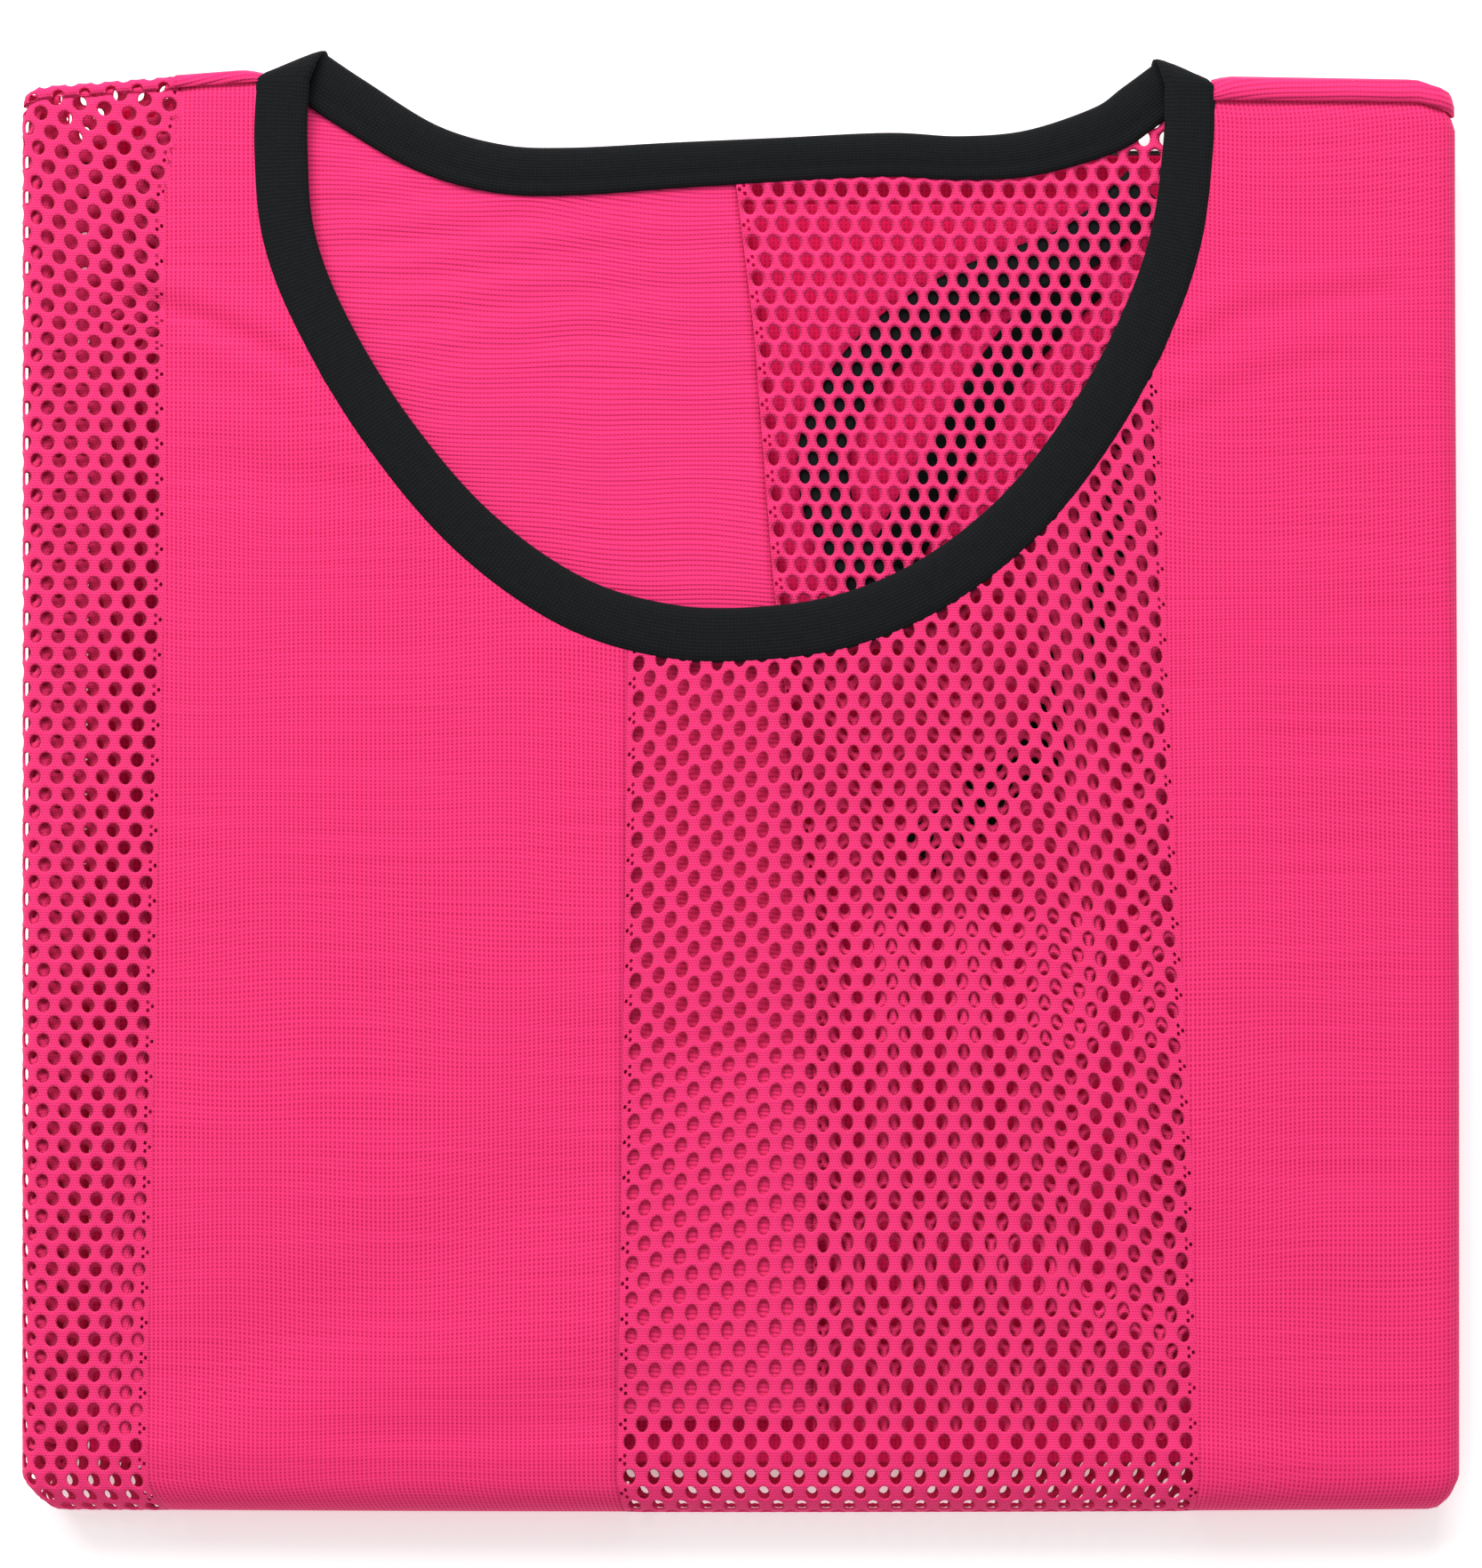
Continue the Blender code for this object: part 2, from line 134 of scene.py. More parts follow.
# %% [markdown]
# ## Lines of the neck
#
# The binding's middle line is a handful of points read from the picture, joined by a smooth curve.
# The same line is used twice: to sweep the binding, and to cut the neck out of both panels a little
# inside the strip, where the binding hides the cut edge.

# %% Neck lines
NECK_FRONT = (
    # x, y, width, level below the top
    (-95.4, 146.0, 11.0, 0.3), (-95.9, 132.0, 11.2, 0.3), (-94.2, 113.4, 11.0, 0.3),
    (-87.0, 94.8, 10.7, 0.3), (-73.6, 72.8, 10.8, 0.3), (-56.2, 52.4, 11.0, 0.3),
    (-35.8, 37.8, 11.2, 0.3), (-15.6, 31.5, 11.4, 0.3), (3.7, 31.0, 11.3, 0.3),
    (22.5, 34.0, 11.4, 0.3), (40.6, 42.0, 11.4, 0.3), (57.8, 55.6, 11.4, 0.3),
    (72.2, 73.8, 11.4, 0.3), (83.2, 93.7, 11.2, 0.3), (90.0, 112.8, 10.9, 0.3),
    (92.6, 132.2, 10.6, 0.3), (92.9, 144.8, 10.4, 0.3),
)
NECK_BACK = (
    (88.4, 145.2, 10.6, 3.6), (82.4, 140.6, 10.8, 3.3), (75.4, 136.0, 10.4, 3.1),
    (60.0, 131.2, 9.6, 2.7), (45.2, 130.1, 9.2, 2.6), (30.4, 130.8, 9.2, 2.6),
    (8.3, 129.8, 9.2, 2.6), (-13.9, 128.6, 9.6, 2.6), (-36.0, 127.3, 10.0, 2.6),
    (-50.6, 127.9, 10.2, 2.7), (-65.8, 132.3, 10.4, 3.1), (-81.4, 141.6, 11.0, 3.3),
    (-89.4, 147.0, 11.0, 3.6),
)


def smooth_line(rows, steps):
    """Points of a smooth curve through the rows, all columns at once."""
    rows = np.array(rows, float)
    padded = np.vstack((rows[:1], rows, rows[-1:]))
    found = []
    for a, b, c, d in zip(padded, padded[1:], padded[2:], padded[3:]):
        for k in range(steps):
            t = k / steps
            found.append(0.5 * (2 * b + (c - a) * t + (2 * a - 5 * b + 4 * c - d) * t * t
                                + (3 * b - a - 3 * c + d) * t ** 3))
    found.append(rows[-1])
    return np.array(found)


def inside_outline(x, y, outline):
    """Which points lie inside a closed outline."""
    inside = np.zeros(np.shape(x), bool)
    for (x0, y0), (x1, y1) in zip(outline, np.roll(outline, -1, axis=0)):
        crosses = (y0 > y) != (y1 > y)
        reach = x0 + (y - y0) * (x1 - x0) / np.where(abs(y1 - y0) < 1e-9, 1e-9, y1 - y0)
        inside ^= crosses & (x < reach)
    return inside


def offset_line(line, distance):
    """The line moved sideways, to the right of its direction where the distance is positive."""
    ahead = np.gradient(line, axis=0)
    ahead /= np.linalg.norm(ahead, axis=1)[:, None]
    return line + distance * np.column_stack((ahead[:, 1], -ahead[:, 0]))


FAR = 170.0
FRONT_CUT, BACK_CUT = 2.0, -1.0         # from the binding's middle line to the cloth's cut edge
front_line = smooth_line(NECK_FRONT, 8)[:, :2]
back_line = smooth_line(NECK_BACK, 8)[:, :2]
back_levels = np.array(NECK_BACK)[::-1, (0, 3)]
front_cut = offset_line(front_line, FRONT_CUT)
back_cut = offset_line(back_line, BACK_CUT)
front_opening = np.vstack(((front_cut[0, 0], FAR), front_cut, (front_cut[-1, 0], FAR)))
back_opening = np.vstack(((front_cut[-1, 0], FAR), (front_cut[-1, 0], back_cut[0, 1]), back_cut,
                          (front_cut[0, 0], back_cut[-1, 1]), (front_cut[0, 0], FAR)))
print("neck, mm:", round(front_line[-1, 0] - front_line[0, 0]), "across")

# %% [markdown]
# ## Creases
#
# Folded cloth keeps the marks of the hands that folded it. A photograph of a flat bib shows them
# as a fine dark line with a soft light band beside it, so each crease here is a narrow trough or a
# broad ridge along a listed line. A simulation would give other creases every time; placed
# ones stay where they were seen.

# %% Creases of the front panel
CREASES = (
    # line, half width, height
    (((-124.7, 100.7), (-113.1, 96.7), (-99.4, 91.1), (-87.1, 83.0)), 1.9, -0.75),
    (((-127.0, 105.0), (-112.0, 101.0), (-98.0, 95.3), (-88.0, 89.0)), 4.2, 0.75),
    (((-112.0, 90.5), (-98.0, 85.0), (-90.0, 78.0)), 4.0, 0.45),
    (((-110.0, 66.0), (-98.7, 62.9), (-74.7, 59.2)), 6.0, -0.45),
    (((-104.0, 74.0), (-84.0, 69.0)), 6.0, 0.35),
    (((87.6, 88.0), (104.2, 98.0), (133.8, 102.6)), 2.0, -0.6),
    (((91.0, 94.5), (105.0, 102.5), (134.0, 107.0)), 5.0, 0.5),
    (((87.6, 73.8), (104.2, 83.2), (122.0, 88.0)), 2.6, -0.45),
    (((92.0, 80.5), (106.0, 88.0), (124.0, 93.0)), 5.0, 0.35),
    (((-122.7, -140.0), (-24.9, -114.2)), 11.0, 0.7),
    (((-104.0, -118.0), (-43.4, -86.5)), 12.0, -0.55),
    (((30.0, -6.0), (92.0, 18.0)), 10.0, -0.45),
    (((-20.0, -60.0), (60.0, -46.0)), 12.0, -0.35),
    (((100.0, -40.0), (146.0, -20.0)), 12.0, 0.35),
    (((98.0, -100.0), (144.0, -124.0)), 12.0, -0.4),
)


def off_line(x, y, line):
    """Distance from a run of straight pieces."""
    nearest = np.full(np.shape(x), 1e9)
    for (x0, y0), (x1, y1) in zip(line, line[1:]):
        long = (x1 - x0) ** 2 + (y1 - y0) ** 2
        share = np.clip(((x - x0) * (x1 - x0) + (y - y0) * (y1 - y0)) / long, 0, 1)
        nearest = np.minimum(nearest, np.hypot(x - x0 - share * (x1 - x0), y - y0 - share * (y1 - y0)))
    return nearest


CLEAR_OF_BINDING, FADE = 4.5, 5.0       # creases fade out near the binding
RIDGE_LINE, RIDGE_HALF, RIDGE_RISE = -139.5, 5.0, 0.45
SEAM_DIP, SEAM_REACH = 0.75, 1.2        # the front's top edge passes under the shoulder strip


def waves(x, y):
    """Slow unevenness of cloth that has lain in a pile."""
    slow = np.sin(0.045 * x + 0.03 * y + 0.6) * np.sin(0.05 * y - 0.02 * x)
    quick = np.sin(0.11 * x - 0.05 * y + 1.9) * np.sin(0.02 * x + 0.083 * y + 0.4)
    return 0.18 * slow + 0.07 * quick


def front_relief(x, y):
    height = waves(x, y)
    for line, half, rise in CREASES:
        height = height + rise * ease(1 - off_line(x, y, line) / (half * 1.5))
    calm = ease((x - LEFT_EDGE - 5) / 14) * ease((RIGHT_EDGE - 5 - x) / 14)
    calm = calm * ease((y - FOLD_LINE) / 10) * ease((seam(x) - y) / 8)
    calm = calm * ease((off_line(x, y, front_line) - CLEAR_OF_BINDING) / FADE)
    fold_ridge = RIDGE_RISE * ease(1 - abs(y - RIDGE_LINE) / RIDGE_HALF) * ease((x - LEFT_EDGE - 8) / 16)
    return height * calm + fold_ridge * ease((RIGHT_EDGE - 8 - x) / 16)


def front_place(u, v, depth):
    """Place of the front panel's cloth at u, v. v is 0 at the bottom fold and falls behind it."""
    turn = np.clip(-v / HALF, 0, math.pi)
    along = np.maximum(v, 0) + np.maximum(-v - UNDER, 0)
    left, right = side_edges(FOLD_LINE + along, turn)
    x, _ = across_fold(u, left, right, depth, ROLL)
    under_seam = SEAM_DIP * ease(fold_line(x) + along - seam(x) + SEAM_REACH) * (v > 0)
    x, inside = across_fold(u, left, right, depth + under_seam, ROLL)
    reach = HALF - inside
    y = fold_line(x) + along - np.sin(turn) * reach
    z = HALF + np.cos(turn) * reach
    z = z + np.where((v > 0) & (inside < ROLL), front_relief(x, y), 0.0)
    return np.stack((x, y, z), axis=-1)

# %% [markdown]
# ## The back panel
#
# The back panel comes over the shoulders, so its cloth turns round the top edge and ends at a seam
# on the front. Behind the neck it lies a little lower than the front. Under the front it hangs free
# at first and touches it lower down, so the holes of the mesh look deep in one place and shallow
# in another.

# %% Where the back panel lies
BACK_TOUCH = 0.15                       # gap where it touches the front
RIPPLES = (
    # x, y, reach, height
    (-58.0, 112.0, 44.0, 0.30), (10.0, 98.0, 60.0, 0.16),
)
UNDER_BINDING = 2.5                     # level of the binding above which the cloth needn't sink
NEST = 1.6                              # how much nearer the layers lie in the side folds
NECK_ENDS = (-95.6, 93.0)               # x of the binding's ends at the shoulders
TUCK, TUCK_REACH = 1.5, 9.0             # the shoulder's edge pulls in beside them


def back_lift(x, y):
    """How far the back panel rises from its resting level."""
    resting = BACK_DEPTH - CLOTH
    touching = resting - CLOTH - BACK_TOUCH
    under_solid = ease((19.0 - x) / 8.0)
    low = ease((-44.0 - y) / 16.0) * under_solid
    spot = ease(1 - np.hypot((x + 2.0) / 5.0, (y + 9.0) / 9.0)) * 0.8
    middle = ease((-18.0 - y) / 14.0) * ease((y + 62.0) / 10.0) * ease((x - 12.0) / 14.0)
    corner = ease(1 - off_line(x, y, ((55.0, -98.0), (95.0, -118.0))) / 14.0)
    lift = touching * np.maximum(np.maximum(low, spot), np.maximum(middle, corner))
    return np.maximum(lift, 0.75 * ease((26.0 - y) / 12.0))


def back_drop(x, y):
    """How far the back panel sinks to pass under its binding near the shoulders."""
    level = np.interp(x, back_levels[:, 0], back_levels[:, 1])
    return np.maximum(level - UNDER_BINDING, 0) * ease((13.0 - off_line(x, y, back_line)) / 7.0)


def nested(x):
    """1 in the side folds, where the layers press together, and 0 on the flat."""
    return ease((LEFT_EDGE + 9.0 - x) / 7.0) + ease((x - RIGHT_EDGE + 9.0) / 7.0)


def back_relief(x, y):
    ripple = 0.0
    for x0, y0, reach, rise in RIPPLES:
        near = ease(1 - np.hypot((x - x0) / 1.3, y - y0) / reach)
        phase = 0.72 * (y - 0.09 * x) + 1.4 * np.sin(0.05 * x)
        ripple = ripple + rise * near * np.sin(phase)
    calm = ease((crest(x) - 8 - y) / 12) * ease((x - LEFT_EDGE - 5) / 14) * ease((RIGHT_EDGE - 5 - x) / 14)
    return (ripple + back_lift(x, y)) * calm - back_drop(x, y)


def back_place(u, w, depth):
    """Place of the back panel's cloth at u, and w down from its seam at the front."""
    y_guess = crest(np.clip(u, LEFT_EDGE, RIGHT_EDGE)) - np.maximum(w - 6.0, 0)
    left, right = side_edges(y_guess, 0.0)
    flat_x, _ = across_fold(u, left, right, depth, ROLL)
    before = crest(flat_x) - SHOULDER_ROLL - seam(flat_x)
    turn = np.clip((w - before) / SHOULDER_ROLL, 0, math.pi)
    behind = np.maximum(w - before - math.pi * SHOULDER_ROLL, 0)
    reach = SHOULDER_ROLL - depth
    level = SHOULDER_ROLL - reach * np.cos(turn)
    level = level - NEST * nested(flat_x) * ease(behind / 5)
    x, inside = across_fold(u, left, right, level, ROLL)
    tuck = TUCK * sum(ease(1 - abs(x - end) / TUCK_REACH) for end in NECK_ENDS)
    y = seam(flat_x) + np.minimum(w, before) + reach * np.sin(turn) - behind
    y = y - tuck * ease(1 - behind / 4) * ease(w / 2)
    z = STACK - inside - 0.5 * tuck * ease(1 - behind / 4)
    relief = np.where(inside < ROLL, front_relief(x, y) * ease(behind / 12) + back_relief(x, y), 0.0)
    return np.stack((x, y, z + relief * ease(behind / 4)), axis=-1)

# %% [markdown]
# ## Colour and finish of the knitted cloth
#
# Polyester knit looks flat from far and ribbed from near. Each cloth material reads the flat
# coordinates of the sheet, kept as a UV map in millimetres, so its ribs and loops are as fine as
# the real ones and turn with the cloth round the folds. Sines make the rows, and a slow noise
# bends them and makes some darker than others.

# %% Shader helpers
PINK = (0.84, 0.036, 0.178, 1.0)
PINK_DEEP = (0.46, 0.004, 0.055, 1.0)
# Painted shade: the hidden folded layers are the same pink cloth, coloured redder and more saturated for the
# crimson they show in the shade between layers.
PINK_INNER_SHADE_TINT = (0.95, 0.018, 0.160, 1.0)
BLACK = (0.0036, 0.0040, 0.0048, 1.0)
BLACK_WORN = (0.0105, 0.0115, 0.0135, 1.0)
CLOTH_GLOSS, BINDING_GLOSS = 0.10, 0.10


def new_material(name, colour, roughness, sheen, gloss=CLOTH_GLOSS):
    material = bpy.data.materials.new(name)
    material.use_nodes = True
    shader = material.node_tree.nodes["Principled BSDF"]
    shader.inputs["Base Color"].default_value = colour
    shader.inputs["Roughness"].default_value = roughness
    shader.inputs["Specular IOR Level"].default_value = gloss
    shader.inputs["Sheen Weight"].default_value = sheen
    shader.inputs["Sheen Roughness"].default_value = 0.5
    return material, material.node_tree, shader


def feed(tree, socket, value):
    """Sets a socket to a number, or joins another node's output to it."""
    if isinstance(value, (int, float, tuple)):
        socket.default_value = value
    else:
        tree.links.new(value, socket)


def maths(tree, operation, first, second=0.0):
    node = tree.nodes.new("ShaderNodeMath")
    node.operation = operation
    feed(tree, node.inputs[0], first)
    feed(tree, node.inputs[1], second)
    return node.outputs[0]


def noise(tree, vector, scale, detail=2.0):
    node = tree.nodes.new("ShaderNodeTexNoise")
    node.inputs["Scale"].default_value = scale
    node.inputs["Detail"].default_value = detail
    tree.links.new(vector, node.inputs["Vector"])
    return node.outputs["Fac"]


def stretched(tree, vector, across, along):
    node = tree.nodes.new("ShaderNodeMapping")
    node.inputs["Scale"].default_value = (across, along, 1.0)
    tree.links.new(vector, node.inputs["Vector"])
    return node.outputs["Vector"]


def cloth_coordinates(tree):
    """The flat coordinates of the sheet, whole and apart."""
    source = tree.nodes.new("ShaderNodeUVMap")
    source.uv_map = "cloth"
    apart = tree.nodes.new("ShaderNodeSeparateXYZ")
    tree.links.new(source.outputs[0], apart.inputs[0])
    return source.outputs[0], apart.outputs["X"], apart.outputs["Y"]


def ribs(tree, place, pitch, sharpness):
    """Thin lines, 1 on the line and 0 between, one every pitch."""
    swing = maths(tree, "COSINE", maths(tree, "MULTIPLY", place, 2 * math.pi / pitch))
    half = maths(tree, "MULTIPLY_ADD", swing, 0.5)
    half.node.inputs[2].default_value = 0.5
    return maths(tree, "POWER", half, sharpness)


def blend(tree, share, low, high):
    node = tree.nodes.new("ShaderNodeMix")
    node.data_type = "RGBA"
    feed(tree, node.inputs[0], share)
    feed(tree, node.inputs[6], low)
    feed(tree, node.inputs[7], high)
    return node.outputs[2]


def raise_surface(tree, shader, height, distance):
    bump = tree.nodes.new("ShaderNodeBump")
    bump.inputs["Distance"].default_value = distance * MM
    bump.inputs["Strength"].default_value = 1.0
    feed(tree, bump.inputs["Height"], height)
    tree.links.new(bump.outputs[0], shader.inputs["Normal"])

# %% Front knit: fine upright ribs with a dot at every loop
RIB_PITCH = 0.94
LOOP_PITCH = 0.86


def make_front_knit():
    material, tree, shader = new_material("pink_knit_front", PINK, 0.75, 0.06)
    cloth, u, v = cloth_coordinates(tree)
    bend = noise(tree, cloth, 0.012, 1.0)
    v = maths(tree, "ADD", v, maths(tree, "MULTIPLY", bend, 22.0))
    line = ribs(tree, u, RIB_PITCH, 1.4)
    dots = ribs(tree, v, LOOP_PITCH, 1.2)
    rows = noise(tree, stretched(tree, cloth, 0.02, 1.1), 1.0, 2.0)
    dots = maths(tree, "ADD", maths(tree, "MULTIPLY", dots, 0.75), maths(tree, "SUBTRACT", rows, 0.25))
    mask = maths(tree, "MULTIPLY", line, dots)
    tone = maths(tree, "MAXIMUM", maths(tree, "MINIMUM", mask, 1.0), 0.0)
    tree.links.new(blend(tree, tone, PINK, PINK_DEEP), shader.inputs["Base Color"])
    raise_surface(tree, shader, maths(tree, "MULTIPLY", mask, -1.0), 0.08)
    return material


def make_back_knit():
    """The inside of the back: level rows of loops, each a little different."""
    material, tree, shader = new_material("pink_knit_back", PINK, 0.75, 0.06)
    cloth, u, v = cloth_coordinates(tree)
    bend = noise(tree, cloth, 0.02, 1.0)
    tilt = maths(tree, "MULTIPLY", u, -0.06)
    v = maths(tree, "ADD", maths(tree, "ADD", v, tilt), maths(tree, "MULTIPLY", bend, 9.0))
    line = ribs(tree, v, 1.0, 2.0)
    dots = ribs(tree, u, 0.8, 1.0)
    uneven = noise(tree, stretched(tree, cloth, 0.02, 0.7), 1.0, 3.0)
    mask = maths(tree, "MULTIPLY", line, maths(tree, "ADD", maths(tree, "MULTIPLY", dots, 0.5), uneven))
    tone = maths(tree, "MINIMUM", maths(tree, "MULTIPLY", mask, 0.62), 1.0)
    tree.links.new(blend(tree, tone, PINK, PINK_DEEP), shader.inputs["Base Color"])
    raise_surface(tree, shader, maths(tree, "MULTIPLY", mask, -1.0), 0.15)
    return material


def make_mesh_cloth():
    """Open mesh: finely looped threads round each hole."""
    material, tree, shader = new_material("pink_mesh", PINK, 0.7, 0.06)
    cloth, u, v = cloth_coordinates(tree)
    loops = ribs(tree, maths(tree, "ADD", u, maths(tree, "MULTIPLY", v, 0.35)), 0.62, 1.0)
    rows = ribs(tree, v, 0.55, 1.0)
    mask = maths(tree, "MULTIPLY", loops, rows)
    tone = maths(tree, "MULTIPLY", mask, 0.55)
    tree.links.new(blend(tree, tone, PINK, PINK_DEEP), shader.inputs["Base Color"])
    raise_surface(tree, shader, maths(tree, "MULTIPLY", mask, -1.0), 0.10)
    return material


def make_binding_cloth():
    """Black knitted binding: fine ribs across, a little lighter in random patches."""
    material, tree, shader = new_material("black_binding_knit", BLACK, 0.8, 0.02, BINDING_GLOSS)
    cloth, u, v = cloth_coordinates(tree)
    mottle = noise(tree, cloth, 0.55, 3.0)
    line = ribs(tree, maths(tree, "ADD", u, maths(tree, "MULTIPLY", mottle, 0.8)), 0.8, 1.0)
    row = ribs(tree, v, 0.7, 1.0)
    mask = maths(tree, "MULTIPLY", line, row)
    tone = maths(tree, "MULTIPLY", maths(tree, "ADD", mask, mottle), 0.5)
    tree.links.new(blend(tree, tone, BLACK, BLACK_WORN), shader.inputs["Base Color"])
    raise_surface(tree, shader, mask, 0.12)
    return material


front_knit_cloth = make_front_knit()
back_knit_cloth = make_back_knit()
mesh_cloth = make_mesh_cloth()
binding_cloth = make_binding_cloth()

# %% Inner layers, seen through the holes and at the open edges, in a colour of painted shade
def make_inner_cloth(name, colour):
    material, tree, shader = new_material(name, colour, 0.8, 0.0)
    place = tree.nodes.new("ShaderNodeTexCoord")
    apart = tree.nodes.new("ShaderNodeSeparateXYZ")
    tree.links.new(place.outputs["Object"], apart.inputs[0])
    line = ribs(tree, apart.outputs["X"], RIB_PITCH * MM, 2.0)
    row = ribs(tree, apart.outputs["Y"], RIB_PITCH * MM, 1.0)
    mask = maths(tree, "MULTIPLY", line, row)
    tree.links.new(blend(tree, maths(tree, "MULTIPLY", mask, 0.6), colour, PINK_DEEP),
                   shader.inputs["Base Color"])
    raise_surface(tree, shader, maths(tree, "MULTIPLY", mask, -1.0), 0.1)
    return material


# Cloth of the folded layers, with its colour of painted shade.
inner_cloth_painted_shade = make_inner_cloth("pink_inner_painted_shade", PINK_INNER_SHADE_TINT)

# %% [markdown]
# ## Solid stripes
#
# Between the mesh stripes the cloth is closed. Each closed stripe is a fine grid in flat
# coordinates, folded by the panel's own function and given its thickness by Solidify. The neck is
# cut by leaving out the grid's squares inside the opening's outline.

# %% A grid of cloth
def add_piece(name, mesh, material):
    mesh.materials.clear()
    mesh.materials.append(material)
    piece = bpy.data.objects.new(name, mesh)
    bpy.context.scene.collection.objects.link(piece)
    mesh.shade_smooth()
    return piece


def write_cloth_map(mesh, flat):
    """Keeps the flat coordinates of each vertex as the UV map named cloth."""
    layer = mesh.uv_layers.get("cloth") or mesh.uv_layers.new(name="cloth")
    corners = np.empty(len(mesh.loops), int)
    mesh.loops.foreach_get("vertex_index", corners)
    layer.data.foreach_set("uv", np.asarray(flat, np.float32)[corners].ravel())


def grid_mesh(name, places, flat, keep=None):
    """Mesh of a grid of places, without the squares that keep leaves out."""
    rows, columns = places.shape[:2]
    index = np.arange(rows * columns).reshape(rows, columns)
    squares = np.stack((index[:-1, :-1], index[1:, :-1], index[1:, 1:], index[:-1, 1:]), axis=-1)
    if keep is not None:
        squares = squares[keep]
    mesh = bpy.data.meshes.new(name)
    mesh.from_pydata((places.reshape(-1, 3) * MM).tolist(), [], squares.reshape(-1, 4).tolist())
    write_cloth_map(mesh, flat.reshape(-1, 2))
    return mesh


def cut_neck(places, opening, above):
    """Which squares stay, with the neck opening left out of the cloth above a height."""
    middle = (places[:-1, :-1] + places[1:, 1:]) / 2
    gone = inside_outline(middle[..., 0], middle[..., 1], opening) & (middle[..., 2] > above)
    return ~gone


def drop_loose(mesh):
    shape = bmesh.new()
    shape.from_mesh(mesh)
    loose = [vertex for vertex in shape.verts if not vertex.link_faces]
    bmesh.ops.delete(shape, geom=loose, context="VERTS")
    shape.to_mesh(mesh)
    shape.free()


def give_thickness(piece):
    wall = piece.modifiers.new("thickness", "SOLIDIFY")
    wall.thickness = CLOTH * MM
    wall.offset = -1
    wall.use_even_offset = False

# %% Stripes of the front and the back
FRONT_END = FLAT_LEFT - math.pi * ROLL - FRONT_FLAP
BACK_FLAP = 3.0
BACK_END_LEFT = FLAT_LEFT - math.pi * ROLL - BACK_FLAP
SEAM_OVERLAP = 0.04


def left_stripe_edge(v):
    return np.interp(v, (11, 103, 195, 270, 291), (-123.6, -121.8, -119.9, -119.9, -116.2))


def middle_stripe_left(v):
    return np.interp(v, (0, 175), (-26.0, -23.6))


def middle_stripe_right(v):
    return np.interp(v, (-8, 66, 140, 227), (95.0, 93.2, 89.5, 86.7))


def back_stripe_left(w):
    return np.interp(w, (22, 60, 110, 190), (-1.8, 2.8, 6.5, 14.8))


def constant(value):
    return lambda along: np.full(np.shape(along), value)


FRONT_TOP = 152.0 - FOLD_LINE
FRONT_BOTTOM = -UNDER - (HEM_TOP - HEM_WIDTH - FOLD_LINE)
BACK_LONG = 286.0
BACK_STRIPE = (-118.0, 99.5)            # the back's solid stripes start at these u
GRID_STEP = 2.0


def solid_stripe(name, place, left, right, top, bottom, opening, material, limit=None):
    rows = int(abs(top - bottom) / GRID_STEP) + 1
    middle = (top + bottom) / 2
    wide = abs(float(right(middle) - left(middle)))
    columns = int(wide / GRID_STEP) + 1
    v, share = np.meshgrid(np.linspace(top, bottom, rows), np.linspace(0, 1, columns), indexing="ij")
    u = left(v) + (right(v) - left(v)) * share
    if limit is not None:
        v = np.minimum(v, limit(u))
    places = place(u, v, 0.0)
    keep = cut_neck(places, opening, STACK - 5)
    mesh = grid_mesh(name, places, np.stack((u, v), axis=-1), keep)
    drop_loose(mesh)
    piece = add_piece(name, mesh, material)
    give_thickness(piece)
    print(name, len(mesh.polygons), "squares")
    return piece


def to_seam(u):
    """Longest v of the front panel: a little under the shoulder strip."""
    return seam(u) + 0.9 - fold_line(u)


front_knit_left = solid_stripe(
    "front_knit_left", front_place, lambda v: left_stripe_edge(v) - SEAM_OVERLAP,
    lambda v: middle_stripe_left(v) + SEAM_OVERLAP, FRONT_TOP, FRONT_BOTTOM, front_opening,
    front_knit_cloth, to_seam)
front_knit_right = solid_stripe(
    "front_knit_right", front_place, lambda v: middle_stripe_right(v) - SEAM_OVERLAP,
    constant(FLAT_RIGHT + math.pi * ROLL + FRONT_FLAP), FRONT_TOP, FRONT_BOTTOM, front_opening,
    front_knit_cloth, to_seam)
back_knit_left = solid_stripe(
    "back_knit_left", back_place, constant(BACK_STRIPE[0]), lambda w: back_stripe_left(w) + SEAM_OVERLAP,
    0.0, BACK_LONG, back_opening, back_knit_cloth)
back_knit_right = solid_stripe(
    "back_knit_right", back_place, constant(BACK_STRIPE[1]),
    constant(FLAT_RIGHT + math.pi * ROLL + BACK_FLAP), 0.0, BACK_LONG, back_opening, back_knit_cloth)

# %% [markdown]
# ## Open mesh
#
# The mesh stripes are knitted with rows of oval holes, each row shifted by half a hole. A texture
# could fake them, but real holes show the layer below, and that is what makes this cloth. One small
# ring of cloth round one hole is modelled once. Geometry Nodes lay it out in rows like bricks, fill
# the half bricks at the stripe's edges with a piece that has only tiny pores, and join them all.
# The flat net is then folded by the same function as the solid stripes.

# %% One hole, and the half piece at the stripe's edge
CORNER = 0.5        # how far the sides of a cell bend, so that the cells lock like a honeycomb


def cell_outline(width, pitch):
    half = width / 2
    upper = [(half, pitch / 2 - CORNER), (half / 2, pitch / 2), (0, pitch / 2 + CORNER),
             (-half / 2, pitch / 2), (-half, pitch / 2 - CORNER)]
    return [(half, 0)] + upper + [(-half, 0)] + [(x, -y) for x, y in reversed(upper)]


def oval(width, height, corners=12):
    turns = [2 * math.pi * k / corners for k in range(corners)]
    return [(width / 2 * math.cos(t), height / 2 * math.sin(t)) for t in turns]


